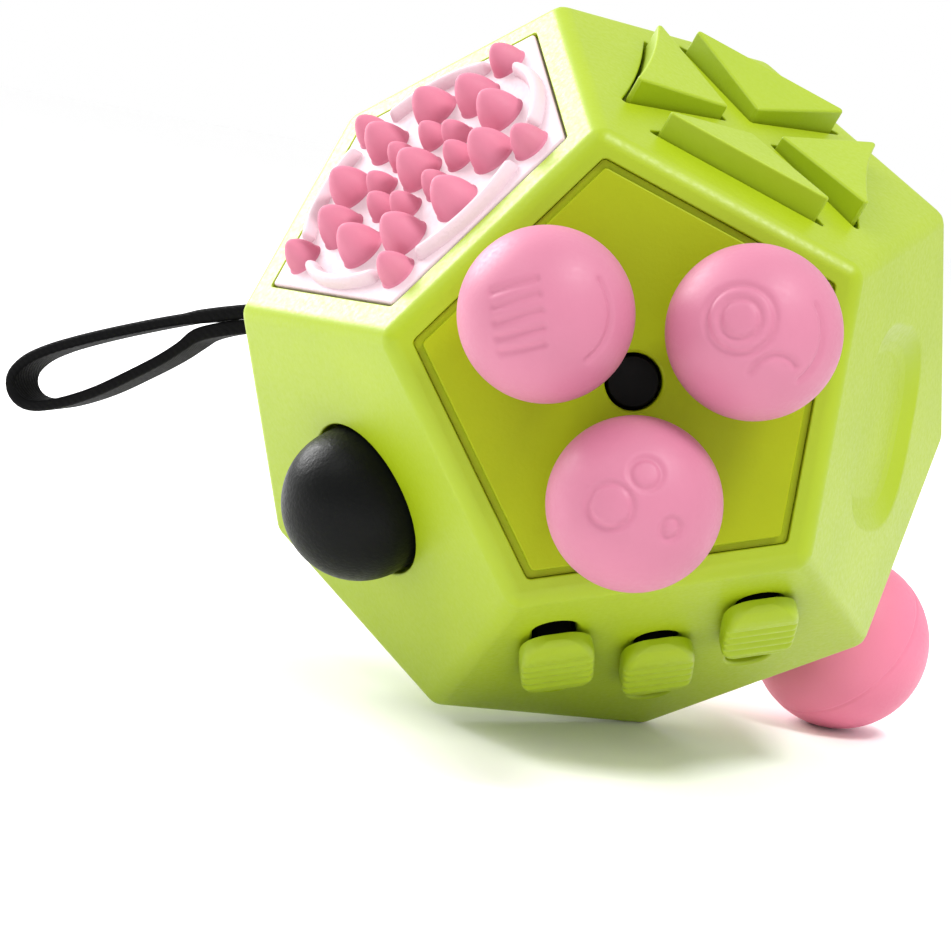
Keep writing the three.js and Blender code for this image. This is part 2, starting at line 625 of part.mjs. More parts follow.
function addWheelFace(face) {
  [-1, 0, 1].forEach((step, i) => {
    const wheel = toothedWheel().rotateY(Math.PI / 2).translate(step * WHEEL.pitch, 0, WHEEL.depth);
    place(face, `toothed_wheel_${i + 1}`, wheel, PINK);
  });
  const axle = (radius, half) =>
    rod(radius, -half, half, 12).rotateY(Math.PI / 2).translate(0, 0, WHEEL.depth);
  const { length, width, bottom, sheet } = BRACKET;
  place(face, 'wheel_axle', axle(WHEEL.axle, length / 2 - 0.2), STEEL);
  place(face, 'wheel_bracket', cut(box(length, width, bottom, INNER_TOP), [
    box(length - 2 * sheet, width + 1, bottom + sheet, 0),
    axle(WHEEL.axle + GAP, length),
  ]), GREY);
}

// ---- click face: three round push buttons ----

function addClickFace(face) {
  const { radius, top, flange, flangeTop, bottom, pitch } = CLICK;
  const chamfer = 0.5;
  CLICKS.forEach((x, i) => {
    place(face, `click_button_${i + 1}`, turned([
      [0, bottom], [flange, bottom], [flange, flangeTop], [radius, flangeTop], [radius, top - chamfer],
      [radius - chamfer, top], [0, top],
    ]).translate(x, 0, 0), PINK);
  });
  const pad = CLICK_PAD;
  place(face, 'click_pad', join([
    prism(roundedBox(2 * pitch + pad.width, pad.width, 1.5), pad.top - pad.thickness, pad.top),
    ...CLICKS.map((x) => rod(pad.post, pad.top - 0.1, pad.postTop, 8).translate(x, 0, 0)),
  ]), GREY);
}

// ---- dial face ----

function addDialFace(face) {
  const { radius, flute, flutes, bottom, top, hub, hubBottom, dimple } = DIAL;
  const steps = flutes * 3;
  const rim = [...Array(steps).keys()].map((i) => {
    const angle = (360 / steps) * i;
    return polar(radius - (flute * (1 - Math.cos(degrees(angle * flutes)))) / 2, angle);
  });
  const dimpleBall = new THREE.SphereGeometry(dimple, 14, 9)
    .translate(radius * 0.55, 0, top + dimple * 0.6);
  place(face, 'dial', cut(
    join([prism(outline(rim), bottom, top), rod(hub, hubBottom, bottom + 0.1)]), [dimpleBall]), PINK);
  place(face, 'dial_clip', ring(CLIP.radius, hub + GAP, INNER_TOP - CLIP.thickness, INNER_TOP), STEEL);
  const leafTop = hubBottom - GAP;
  place(face, 'detent_leaf', box(LEAF.length, LEAF.width, leafTop - LEAF.thickness, leafTop), STEEL);
}

addBallFace(faceGroups.balls);
addMassageFace(faceGroups.massage);
addArrowFace(faceGroups.arrows);
addSliderFace(faceGroups.sliders);
addDomeFace(faceGroups.dome);
addJoystickFace(faceGroups.joystick);
addRockerFace(faceGroups.rocker);
const strap = addStrapFace(faceGroups.strap);
addWheelFace(faceGroups.wheels);
addClickFace(faceGroups.clicks);
addDialFace(faceGroups.dial);

// ---- stand it up, with the origin under the middle of everything but the strap ----

const stand = new THREE.Matrix4()
  .makeRotationX(-degrees(STAND_LEAN))
  .multiply(new THREE.Matrix4().makeRotationY(degrees(STAND_ROLL)))
  .multiply(new THREE.Matrix4().makeRotationX(Math.PI / 2));
toy.applyMatrix4(stand);
toy.updateMatrixWorld(true);
const bounds = new THREE.Box3();
toy.traverse((item) => {
  if (item.isMesh && item !== strap) bounds.expandByObject(item, true);
});
const middle = bounds.getCenter(new THREE.Vector3());
toy.position.set(-middle.x, -middle.y, -bounds.min.z);

export default toy;
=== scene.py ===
"""Twelve-sided fidget toy: the looks of every piece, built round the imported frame. Metres, +Z up.

Shapes are made in millimetres in the space of one face (origin in its middle, Z outward) and then placed.
"""

import json
import math

import bmesh
import bpy
import numpy as np
from mathutils import Matrix, Vector


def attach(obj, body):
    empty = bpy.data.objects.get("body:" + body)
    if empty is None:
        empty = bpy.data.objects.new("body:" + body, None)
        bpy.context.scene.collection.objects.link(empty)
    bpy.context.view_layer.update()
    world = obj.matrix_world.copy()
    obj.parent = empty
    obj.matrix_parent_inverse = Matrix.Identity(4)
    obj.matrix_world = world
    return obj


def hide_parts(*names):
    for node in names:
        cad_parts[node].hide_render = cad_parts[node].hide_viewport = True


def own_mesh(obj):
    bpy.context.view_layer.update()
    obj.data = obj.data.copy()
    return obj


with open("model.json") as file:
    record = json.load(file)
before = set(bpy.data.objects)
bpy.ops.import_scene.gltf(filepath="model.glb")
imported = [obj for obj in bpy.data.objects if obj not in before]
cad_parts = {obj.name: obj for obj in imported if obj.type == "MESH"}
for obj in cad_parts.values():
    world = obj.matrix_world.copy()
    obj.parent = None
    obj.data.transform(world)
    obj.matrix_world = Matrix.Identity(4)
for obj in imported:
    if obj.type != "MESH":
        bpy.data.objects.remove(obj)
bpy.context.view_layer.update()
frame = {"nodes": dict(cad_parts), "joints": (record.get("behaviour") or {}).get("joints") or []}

# ---- the frame's sizes, in millimetres ----

MM = 0.001
FACE_DISTANCE = 25
WALL = 2
EDGE_CUT = 1
FACE_TILT = math.atan(2)
FACE_APOTHEM = FACE_DISTANCE * math.tan(FACE_TILT / 2)
HALF_CORNER = math.pi / 5
STAND_LEAN = 5
STAND_ROLL = -17.8
GAP = 0.3
SEAM = 0.07  # half the joint line between the two shells
OUTSIDE = 3  # a cutter's top above the face
THROUGH = -WALL - 1.5  # the foot of a cutter that goes through the wall

JOINTS = {joint["name"]: joint for joint in frame["joints"]}
DIAL = JOINTS["dial_turn"]
DOME_PRESS = JOINTS["dome_press"]
MIDDLE = Vector(DIAL["pos_m"]) - Vector(DIAL["axis"]) * FACE_DISTANCE * MM


def turn_about(axis, degrees):
    return Matrix.Rotation(math.radians(degrees), 4, axis)


STAND = (
    Matrix.Translation(MIDDLE) @ turn_about("X", -STAND_LEAN) @ turn_about("Y", STAND_ROLL)
    @ turn_about("X", 90) @ Matrix.Scale(MM, 4)
)


def face_matrix(number, behind=False):
    """A face's place: origin in its middle, Z outward, Y towards the front or, behind, towards the back."""
    turn = math.radians(198 - 72 * number)
    front = Vector((0, 0, 1))
    normal = front.copy()
    if number:
        side = math.sin(FACE_TILT)
        normal = Vector((side * math.cos(turn), side * math.sin(turn), math.cos(FACE_TILT)))
    forward = front
    if behind:
        forward, normal = -front, -normal
    up = Vector((0, 1, 0))
    if number:
        up = (forward - normal * forward.dot(normal)).normalized()
    matrix = Matrix((up.cross(normal), up, normal)).transposed().to_4x4()
    matrix.translation = normal * FACE_DISTANCE
    return matrix


FRONT_FACES = ["balls", "massage", "arrows", "dish", "sliders", "dome"]
BACK_FACES = ["dial", "joystick", "rocker", "strap", "wheels", "clicks"]
FACES = {name: face_matrix(i) for i, name in enumerate(FRONT_FACES)}
FACES.update({name: face_matrix(i, True) for i, name in enumerate(BACK_FACES)})

# ---- camera ----

CAMERA_AZIMUTH = -3.12
CAMERA_ELEVATION = 7.5
CAMERA_ROLL = 10.36
CAMERA_PLACE = Vector((-21.5, -226.23, 19.98))
CAMERA_LENS = 102.15


def add_camera():
    camera = bpy.data.objects.new("camera", bpy.data.cameras.new("camera"))
    bpy.context.scene.collection.objects.link(camera)
    camera.data.lens = CAMERA_LENS
    camera.data.sensor_width = 36
    turned = turn_about("Z", CAMERA_AZIMUTH) @ turn_about("X", 90 - CAMERA_ELEVATION)
    camera.matrix_world = (
        Matrix.Translation(MIDDLE + CAMERA_PLACE * MM) @ turned @ turn_about("Z", CAMERA_ROLL)
    )
    bpy.context.scene.camera = camera


add_camera()

# ---- outlines and profiles ----


def polar(radius, degrees):
    """The point at this distance from the origin and at this angle."""
    return radius * math.cos(math.radians(degrees)), radius * math.sin(math.radians(degrees))


def arc(middle, radius, start, end, steps):
    """Points on an arc, angles in degrees."""
    angles = np.radians(np.linspace(start, end, steps + 1))
    return [(middle[0] + radius * math.cos(a), middle[1] + radius * math.sin(a)) for a in angles]


def circle(radius, steps=64, middle=(0, 0)):
    return arc(middle, radius, 0, 360, steps)[:-1]


def softened(points, radius, steps=5, closed=True):
    """Points with their corners rounded to a radius, or to one radius each."""
    radii = radius if isinstance(radius, (list, tuple)) else [radius] * len(points)
    result = []
    for i, corner in enumerate(points):
        here = Vector(corner)
        if radii[i] == 0 or (not closed and i in (0, len(points) - 1)):
            result.append(tuple(here))
            continue
        back = (Vector(points[i - 1]) - here).normalized()
        ahead = (Vector(points[(i + 1) % len(points)]) - here).normalized()
        half = back.angle(ahead) / 2
        middle = here + (back + ahead).normalized() * (radii[i] / math.sin(half))
        reach = radii[i] / math.tan(half)
        first = here + back * reach - middle
        last = here + ahead * reach - middle
        sweep = first.angle_signed(last)
        for step in range(steps + 1):
            turned = first.copy()
            turned.rotate(Matrix.Rotation(-sweep * step / steps, 2))
            result.append(tuple(middle + turned))
    return result


def pentagon(apothem, corner_up=False, radius=0.0):
    first = 90 if corner_up else 54
    reach = apothem / math.cos(HALF_CORNER)
    corners = arc((0, 0), reach, first, first + 360, 5)[:-1]
    return softened(corners, radius) if radius else corners


def rectangle(width, length, radius, middle=(0, 0)):
    x, y = width / 2, length / 2
    corners = [(x, -y), (x, y), (-x, y), (-x, -y)]
    return softened([(middle[0] + a, middle[1] + b) for a, b in corners], radius, 6)


def grown(outline, distance):
    """The outline with every side moved outward, or inward if the distance is negative."""
    points = np.array(outline, float)

    def normals(step):
        side = (points - np.roll(points, step, 0)) * step
        side /= np.linalg.norm(side, axis=1)[:, None]
        return np.column_stack([side[:, 1], -side[:, 0]])

    before, after = normals(1), normals(-1)
    share = 1 + (before * after).sum(1)
    return points + (before + after) / share[:, None] * distance


# ---- solids as (points, faces) ----


def loft(rings):
    """A closed body through rings of as many points each, turning anticlockwise and going up."""
    count = len(rings[0])
    points = [tuple(point) for ring in rings for point in ring]
    faces = []
    for level in range(len(rings) - 1):
        for i in range(count):
            a, b = level * count + i, level * count + (i + 1) % count
            faces.append((a, b, b + count, a + count))
    faces.append(tuple(reversed(range(count))))
    faces.append(tuple(range(len(points) - count, len(points))))
    return points, faces


def levels(outline, stations):
    """A body through the outline at stations of (height, growth)."""
    return loft([[(x, y, height) for x, y in grown(outline, growth)] for height, growth in stations])


def slab(outline, bottom, top, edge=0.3, foot=0.05, steps=5):
    """A plate with rounded edges."""
    quarter = np.linspace(0, math.pi / 2, steps + 1)
    lower = [(bottom + foot * (1 - math.cos(t)), -foot * (1 - math.sin(t))) for t in quarter]
    upper = [(top - edge * (1 - math.sin(t)), -edge * (1 - math.cos(t))) for t in quarter]
    return levels(outline, lower + upper)


def opening(outline, bottom, lip=0.3):
    """A cutter that leaves a rounded edge where it meets the face."""
    turn = np.radians(np.linspace(0, 82, 6))
    flare = [(lip * (math.sin(t) - 1), lip * (1 - math.cos(t))) for t in turn]
    return levels(outline, [(bottom, 0)] + flare + [(OUTSIDE, flare[-1][1])])


def lathe(profile, segments=64):
    """A body turned about Z from (radius, height); it starts and ends on the axis, or closes."""
    closed = profile[0][0] > 1e-6
    points, rows = [], []
    for radius, height in profile:
        if radius <= 1e-6:
            rows.append([len(points)] * segments)
            points.append((0, 0, height))
            continue
        rows.append(list(range(len(points), len(points) + segments)))
        points.extend((x, y, height) for x, y in circle(radius, segments))
    if closed:
        rows.append(rows[0])
    faces = []
    for low, high in zip(rows, rows[1:]):
        for i in range(segments):
            j = (i + 1) % segments
            corners = list(dict.fromkeys((low[i], low[j], high[j], high[i])))
            if len(corners) > 2:
                faces.append(tuple(corners))
    return points, faces


def rod(radius, bottom, top, edge=0.1):
    return slab(circle(radius, 40), bottom, top, edge, edge)


def joined(shapes):
    points, faces = [], []
    for shape_points, shape_faces in shapes:
        start = len(points)
        points.extend(shape_points)
        faces.extend(tuple(start + i for i in face) for face in shape_faces)
    return points, faces


def moved(shape, matrix):
    return [tuple(matrix @ Vector(point)) for point in shape[0]], shape[1]


def at(x=0, y=0, z=0):
    return Matrix.Translation((x, y, z))


def bar_along(path, half_width, height, floor, sides=10):
    """A bar with a round top and round ends along a path in the plane."""
    path = np.array(path)
    along = np.gradient(path, axis=0)
    along /= np.linalg.norm(along, axis=1)[:, None]
    across = np.column_stack([along[:, 1], -along[:, 0]])
    ends = np.linspace(0, 1, len(path))
    travelled = np.minimum(ends, 1 - ends) * np.linalg.norm(np.diff(path, axis=0), axis=1).sum()
    rings = []
    for point, side, distance in zip(path, across, travelled):
        size = math.sqrt(max(0.02, 1 - max(0, 1 - distance / half_width) ** 2))
        ring = []
        for t in np.linspace(0, math.pi, sides):
            spot = point + side * half_width * size * math.cos(t)
            ring.append((spot[0], spot[1], floor + (height - floor) * size * math.sin(t)))
        rings.append(ring)
    return loft(rings)


# ---- Blender objects ----


def new_object(name, shape):
    """An object in millimetres, with its faces turned outward."""
    mesh = bpy.data.meshes.new(name)
    mesh.from_pydata(shape[0], [], shape[1])
    made = bmesh.new()
    made.from_mesh(mesh)
    bmesh.ops.remove_doubles(made, verts=made.verts, dist=1e-5)
    bmesh.ops.recalc_face_normals(made, faces=made.faces)
    made.to_mesh(mesh)
    made.free()
    obj = bpy.data.objects.new(name, mesh)
    bpy.context.scene.collection.objects.link(obj)
    return obj


def settled(obj):
    """Applies the object's modifiers."""
    graph = bpy.context.evaluated_depsgraph_get()
    mesh = bpy.data.meshes.new_from_object(obj.evaluated_get(graph))
    obj.modifiers.clear()
    obj.data = mesh
    return obj


def carved(obj, shapes, operation="DIFFERENCE"):
    """Cuts the object with each shape in turn."""
    cutters = [new_object("cutter", shape) for shape in shapes]
    for cutter in cutters:
        change = obj.modifiers.new("cut", "BOOLEAN")
        change.operation = operation
        change.solver = "EXACT"
        change.object = cutter
    settled(obj)
    for cutter in cutters:
        bpy.data.objects.remove(cutter)
    return obj


def finished(obj, face, body, nodes, finish, angle=34):
    """Puts a piece in its place, with its shading, its body, the nodes it replaces and its finish's
    material.
    """
    material, slot = finish
    matrix = STAND @ FACES[face] if face else STAND
    obj.data.transform(matrix)
    obj.data.shade_smooth()
    obj.data.set_sharp_from_angle(angle=math.radians(angle))
    normals = obj.modifiers.new("normals", "WEIGHTED_NORMAL")
    normals.keep_sharp = True
    obj.data.materials.clear()
    obj.data.materials.append(material)
    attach(obj, body)
    if nodes:
        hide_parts(*nodes)
    return obj


def piece(name, shape, face, body, nodes, finish, angle=34):
    return finished(new_object(name, shape), face, body, nodes, finish, angle)


# ---- materials ----


def linear(red, green, blue):
    """A colour in linear light from its 0 to 255 values on screen."""
    def part(value):
        value /= 255
        return value / 12.92 if value <= 0.04045 else ((value + 0.055) / 1.055) ** 2.4
    return part(red), part(green), part(blue), 1


class Nodes:
    """A material's node tree, with short ways to add to it."""

    def __init__(self, name):
        self.material = bpy.data.materials.new(name)
        self.material.use_nodes = True
        self.tree = self.material.node_tree
        self.shader = self.tree.nodes["Principled BSDF"]
        self.place = self.tree.nodes.new("ShaderNodeTexCoord").outputs["Object"]

    def set(self, **values):
        for name, value in values.items():
            self.shader.inputs[name.replace("_", " ")].default_value = value

    def noise(self, scale, detail):
        node = self.tree.nodes.new("ShaderNodeTexNoise")
        node.inputs["Scale"].default_value = scale
        node.inputs["Detail"].default_value = detail
        self.tree.links.new(self.place, node.inputs["Vector"])
        return node.outputs["Fac"]

    def wave(self, scale, direction):
        node = self.tree.nodes.new("ShaderNodeTexWave")
        node.bands_direction = direction
        node.inputs["Scale"].default_value = scale
        self.tree.links.new(self.place, node.inputs["Vector"])
        return node.outputs["Fac"]

    def between(self, value, low, high):
        """Spreads a noise's usual range, 0.3 to 0.7, over low to high."""
        node = self.tree.nodes.new("ShaderNodeMapRange")
        for name, number in zip(("From Min", "From Max", "To Min", "To Max"), (0.3, 0.7, low, high)):
            node.inputs[name].default_value = number
        self.tree.links.new(value, node.inputs["Value"])
        return node.outputs["Result"]

    def blend(self, share, first, second):
        node = self.tree.nodes.new("ShaderNodeMix")
        node.data_type = "RGBA"
        node.inputs["A"].default_value = first
        node.inputs["B"].default_value = second
        self.tree.links.new(share, node.inputs["Factor"])
        return node.outputs["Result"]

    def colour(self, output):
        self.tree.links.new(output, self.shader.inputs["Base Color"])

    def roughness(self, output):
        self.tree.links.new(output, self.shader.inputs["Roughness"])

    def bump(self, height, depth_mm):
        """Adds a relief on top of those already there."""
        node = self.tree.nodes.new("ShaderNodeBump")
        node.inputs["Distance"].default_value = depth_mm * MM
        self.tree.links.new(height, node.inputs["Height"])
        last = self.shader.inputs["Normal"].links
        if last:
            self.tree.links.new(last[0].from_socket, node.inputs["Normal"])
        self.tree.links.new(node.outputs["Normal"], self.shader.inputs["Normal"])


def moulded(name, low, high, roughness, grain=0.012, specular=0.5):
    """Moulded plastic or rubber: cloudy colour, uneven gloss, a fine eroded grain and faint ripples."""
    nodes = Nodes(name)
    cloud = nodes.noise(90, 3)
    fleck = nodes.noise(2600, 2)
    nodes.colour(nodes.blend(nodes.between(cloud, 0.15, 0.85), linear(*low), linear(*high)))
    nodes.roughness(nodes.between(fleck, roughness - 0.06, roughness + 0.06))
    nodes.bump(nodes.noise(3200, 3), grain)
    nodes.bump(nodes.noise(320, 2), grain * 1.2)
    nodes.set(Specular_IOR_Level=specular)
    return nodes.material


def webbing(name):
    """Black woven strap: slanting ribs over a fibre noise."""
    nodes = Nodes(name)
    fibre = nodes.noise(4200, 4)
    nodes.colour(nodes.blend(nodes.between(fibre, 0, 1), linear(3, 3, 4), linear(11, 11, 12)))
    nodes.roughness(nodes.between(fibre, 0.6, 0.8))
    nodes.bump(nodes.wave(1100, "DIAGONAL"), 0.03)
    nodes.bump(fibre, 0.03)
    nodes.set(Specular_IOR_Level=0.07)
    return nodes.material


def metal(name):
    """Drawn metal with uneven gloss and fine scratches."""
    nodes = Nodes(name)
    scratch = nodes.noise(1500, 4)
    nodes.colour(nodes.blend(nodes.between(scratch, 0, 1), linear(150, 152, 156), linear(196, 198, 201)))
    nodes.roughness(nodes.between(scratch, 0.26, 0.42))
    nodes.bump(scratch, 0.004)
    nodes.set(Metallic=1.0)
    return nodes.material


# Each finish is a material and the name of its slot.
LIME = moulded("lime_moulding", (143, 164, 5), (152, 172, 12), 0.42, specular=0.4), "lime_plastic"
BUTTON = moulded("lime_button", (143, 165, 5), (152, 173, 12), 0.45, specular=0.4), "lime_plastic"
OLIVE = moulded("olive_moulding", (145, 158, 0), (153, 166, 0), 0.5, 0.02, 0.2), "olive_plastic"
PINK = moulded("pink_moulding", (179, 106, 130), (188, 115, 139), 0.5, 0.01, 0.35), "pink_plastic"
# A lighter copy of the pink moulding for the knob, making up for the shade from the floor low down round
# it: painted light. Its stronger saturation is the knob's own colour.
LIT_KNOB_PINK = moulded("pink_knob_lightened", (208, 112, 139), (216, 121, 148), 0.5, 0.01, 0.35), "pink_plastic"
NUB_PINK = moulded("pink_silicone", (190, 110, 132), (200, 120, 142), 0.6, 0.01, 0.3), "pale_silicone"
PALE = moulded("pale_silicone", (205, 182, 189), (214, 191, 198), 0.6, 0.04, 0.3), "pale_silicone"
BLACK = moulded("black_moulding", (6, 7, 7), (12, 13, 12), 0.5, 0.01, 0.1), "black_plastic"
GRAINED = moulded("black_grained", (5, 6, 6), (9, 11, 10), 0.42, 0.035, 0.1), "black_plastic"
GREY = moulded("grey_moulding", (96, 98, 100), (122, 124, 126), 0.5), "grey_plastic"
RUBBER = moulded("grey_rubber", (120, 122, 124), (140, 142, 144), 0.7), "grey_silicone"
STEEL = metal("drawn_steel"), "steel"
STRAP = webbing("woven_strap"), "black_webbing"

# ---- wrist strap ----

STRAP_THICKNESS = 1.0
STRAP_SEWN = 1.28  # how much thicker the band is where its two layers are sewn together
STRAP_SEWN_OUT = 15  # how far out from the face they are sewn
STRAP_WIDTH = 4.5
STRAP_CORNER = 0.42
STRAP_TWIST = -6.8
STRAP_STEPS = 150
# The strap's centreline in the plane across its pin: distance out from the face, then upwards.
STRAP_ROUTE = [
    (-2.8, 1.95), (0, 1.8), (3, 1.35), (6.5, 0.7), (10, -0.1), (13, -0.9), (17, -2.1), (22, -3.8),
    (26, -5.3), (29, -6.6), (31.2, -7.9), (32.5, -9.4), (32.5, -10.8), (31.5, -11.8), (29.8, -12),
    (27, -11.2), (23.5, -9.6), (20, -7.5), (17, -5.55), (15, -4), (13.7, -2.85), (12, -2.1),
    (10, -1.5), (8, -1.05), (6, -1.05), (3, -1.45), (0, -1.85), (-2.8, -1.95),
]


def smooth_route(points, count):
    """Evenly spaced points on a smooth curve through the given ones."""
    points = np.array(points, float)
    knots = np.array([2 * points[0] - points[1], *points, 2 * points[-1] - points[-2]])
    dense = []
    for a, b, c, d in zip(knots, knots[1:], knots[2:], knots[3:]):
        for t in np.linspace(0, 1, 12, endpoint=False):
            dense.append(0.5 * (2 * b + (c - a) * t + (2 * a - 5 * b + 4 * c - d) * t * t
                                + (3 * b - a - 3 * c + d) * t ** 3))
    dense = np.array([*dense, points[-1]])
    distance = np.concatenate([[0], np.cumsum(np.linalg.norm(np.diff(dense, axis=0), axis=1))])
    even = np.linspace(0, distance[-1], count)
    return np.column_stack([np.interp(even, distance, dense[:, i]) for i in (0, 1)]), distance[-1]


def add_strap():
    route, length = smooth_route(STRAP_ROUTE, STRAP_STEPS)
    along = np.gradient(route, axis=0)
    along /= np.linalg.norm(along, axis=1)[:, None]
    section = rectangle(STRAP_THICKNESS, STRAP_WIDTH, STRAP_CORNER)
    rings = []
    for (out, up), (step_out, step_up) in zip(route, along):
        swell = 1 + (STRAP_SEWN - 1) * min(1, max(0, (STRAP_SEWN_OUT - out) / 1.5))
        rings.append([(up + x * swell * step_out, y, out - x * swell * step_up) for x, y in section])
    twist = turn_about("Z", STRAP_TWIST)
    band = moved(loft(rings), twist)
    strap = piece("wrist_strap_band", band, "strap", "case", ["wrist_strap"], STRAP, 50)


add_strap()

# ---- case ----

PLATE_APOTHEM, PLATE_STEP, PLATE_SLIT, PLATE_DEPTH = 13.1, 12.2, 0.6, 1.1
PAD_APOTHEM, PAD_RECESS = 12.45, 1.4
# Each arrow's outer edge and tip, as distances from the middle, half its width, and its edge's hollow.
ARROW_SIZES = {"side": (10.3, 2.4, 7.4, 0.5), "middle": (10.6, 2.9, 7.3, 0)}
ARROWS = [("right", 0, "side"), ("near", 90, "middle"), ("left", 180, "side"), ("far", 270, "middle")]
SLIDERS = [(-8, 2.2, 3.8), (0.2, -3.3, -0.6), (8.1, 2.1, 5.2)]  # x, slot's middle, rest
SLOT_WIDTH, SLOT_LENGTH, SLOT_CORNER = 3.6, 16.4, 1.78
STRAP_SLOT = (6.6, 5.8, 0.7)
DOME_HOLE, STICK_HOLE, HUB_HOLE = 6.6, 5.7, 2.9
ROCKER_LENGTH, ROCKER_WIDTH, BEZEL = 12, 7, 1.4
CLICK_RADIUS, CLICK_PITCH = 2.6, 7.2
WHEEL_PITCH, WHEEL_RADIUS = 3.8, 5
WHEEL_WINDOW = (3 * WHEEL_PITCH + 1, 2 * WHEEL_RADIUS + 0.8, 0.8)
EDGE_STEPS = 7


def dodecahedron(distance):
    """Points and faces of the plain body, from the corners of its faces."""
    shapes = []
    for name, matrix in FACES.items():
        outline = pentagon(FACE_APOTHEM, name == "balls")
        corners = [tuple(matrix @ Vector((x, y, 0)) * (distance / FACE_DISTANCE)) for x, y in outline]
        shapes.append((corners, [(0, 1, 2, 3, 4)]))
    return joined(shapes)


def front_space(shift):
    """The space of the six front faces, moved along the front axis."""
    reach = 2
    shapes = []
    for name in FRONT_FACES:
        outline = pentagon(FACE_APOTHEM, name == "balls")
        corners = [tuple(FACES[name] @ Vector((x, y, 0)) * reach) for x, y in outline]
        faces = [(0, 1, 2, 3, 4)]
        if name != "balls":
            faces += [(5, i + 1, i) for i in (2, 3)]
        shapes.append((corners + [(0, 0, 0)], faces))
    return moved(joined(shapes), at(z=shift))


def arrow_outline(size, margin=0.0):
    """An arrow button seen from above, pointing at the middle from +X."""
    outer, apex, half, sag = ARROW_SIZES[size]
    slope = half / (outer - apex)
    tip = apex - margin / math.sin(math.atan(slope))
    edge = outer + margin
    reach = slope * (edge - tip)
    turns = np.linspace(-1, 1, 9)
    bow = [(edge - sag * (1 - t * t), reach * t) for t in turns]
    radii = [0.25, 0.3] + [0] * 7 + [0.3]
    return softened([(tip, 0)] + bow, radii, 4)


def dish():
    """A shallow tray with soft walls and rounded corners."""
    half_length, half_width, depth, power = 8.6, 7.8, 1.1, 2.9
    wall = [(0, -1), (0.45, -1), (0.7, -0.96), (0.8, -0.78), (0.9, -0.38), (0.97, -0.07), (1.01, 0.012)]
    profile = [(radius, height * depth) for radius, height in softened(wall, 0.05, 4, closed=False)]
    points, faces = lathe([*profile, (1.01, OUTSIDE), (0, OUTSIDE)], 120)
    squared = []
    for x, y, z in points:
        reach = math.hypot(x, y) / max(1e-9, (abs(x) ** power + abs(y) ** power) ** (1 / power))
        squared.append((x * reach * half_length, y * reach * half_width, z))
    return squared, faces


def openings():
    """The cutters of every pocket, slot and hole in the case."""
    room = 2 * BEZEL + 4 * GAP
    arrows = [moved(opening(arrow_outline(size, GAP), THROUGH, 0.14), turn_about("Z", angle))
              for _, angle, size in ARROWS]
    slots = [rectangle(SLOT_WIDTH, SLOT_LENGTH, SLOT_CORNER, (x, middle)) for x, middle, _ in SLIDERS]
    holes = [circle(CLICK_RADIUS + GAP, 56, (step * CLICK_PITCH, 0)) for step in (-1, 0, 1)]
    cutters = {
        "balls": [
            opening(pentagon(PLATE_APOTHEM + PLATE_SLIT, True, 0.5), -PLATE_DEPTH - GAP, 0.12),
            opening(pentagon(PLATE_STEP, True), THROUGH, 0.01),
        ],
        "massage": [opening(pentagon(PAD_APOTHEM + 0.2, radius=0.4), -PAD_RECESS, 0.16)],
        "arrows": arrows,
        "dish": [dish()],
        "sliders": [opening(slot, THROUGH, 0.3) for slot in slots],
        "dome": [opening(circle(DOME_HOLE, 80), THROUGH, 0.16)],
        "dial": [opening(circle(HUB_HOLE, 56), THROUGH, 0.2)],
        "joystick": [opening(circle(STICK_HOLE, 80), THROUGH, 0.4)],
        "rocker": [opening(rectangle(ROCKER_LENGTH + room, ROCKER_WIDTH + room, 1.6), THROUGH, 0.25)],
        "strap": [opening(rectangle(*STRAP_SLOT), THROUGH, 0.4)],
        "wheels": [opening(rectangle(*WHEEL_WINDOW), THROUGH, 0.35)],
        "clicks": [opening(hole, THROUGH, 0.3) for hole in holes],
    }
    return [moved(shape, FACES[name]) for name, shapes in cutters.items() for shape in shapes]


def add_case():
    """A bevelled body, hollowed and pierced, then parted into a front and a back shell."""
    body = new_object("case_blank", dodecahedron(FACE_DISTANCE))
    blank = bmesh.new()
    blank.from_mesh(body.data)
    bmesh.ops.bevel(blank, geom=blank.edges[:], offset=EDGE_CUT, segments=EDGE_STEPS, profile=0.5,
                    affect="EDGES")
    blank.to_mesh(body.data)
    blank.free()
    carved(body, [dodecahedron(FACE_DISTANCE - WALL), *openings()])
    rear = bpy.data.objects.new("back_case", body.data.copy())
    bpy.context.scene.collection.objects.link(rear)
    body.name = "front_case"
    carved(body, [front_space(SEAM)], "INTERSECT")
    carved(rear, [front_space(-SEAM)])
    finished(body, None, "case", ["front_shell"], LIME, 28)
    finished(rear, None, "case", ["back_shell"], LIME, 28)


add_case()

# ---- balls ----

BALL_RADIUS, BALL_HEIGHT, BALL_RING, BALL_FIRST = 6.45, 7.55, 8.75, 17.4
BALL_SPOTS = [polar(BALL_RING, BALL_FIRST + 120 * i) for i in range(3)]
BALL_BORE, PLATE_HOLE = 1.3, 2.22
PATTERN_DEPTH, PATTERN_WIDTH = 0.22, 0.28


def stroke(points, closed=False):
    return np.array(points + points[:1] if closed else points, float)


# Plain relief on each ball: two rings inside each other with bows, bars, and three loose rings.
PATTERNS = [
    [stroke(circle(1.5, 24, (-1.8, 1.3)), True), stroke(circle(2.6, 30, (-1.8, 1.3)), True),
     stroke(arc((0, 0), 4.6, -60, 20, 16)), stroke(arc((0.2, -3.6), 1.9, 25, 155, 10))],
    [stroke([(-4.3, -2.5 + 1.2 * i), (-0.8, -2.1 + 1.2 * i)]) for i in range(5)]
    + [stroke(arc((0.3, 0), 4.4, -62, 28, 14))],
    [stroke(circle(1.7, 24, (-2.4, 0.6)), True), stroke(circle(1.2, 22, (0.6, 2.6)), True),
     stroke(circle(0.75, 16, (1.9, -1.7)), True)],
]


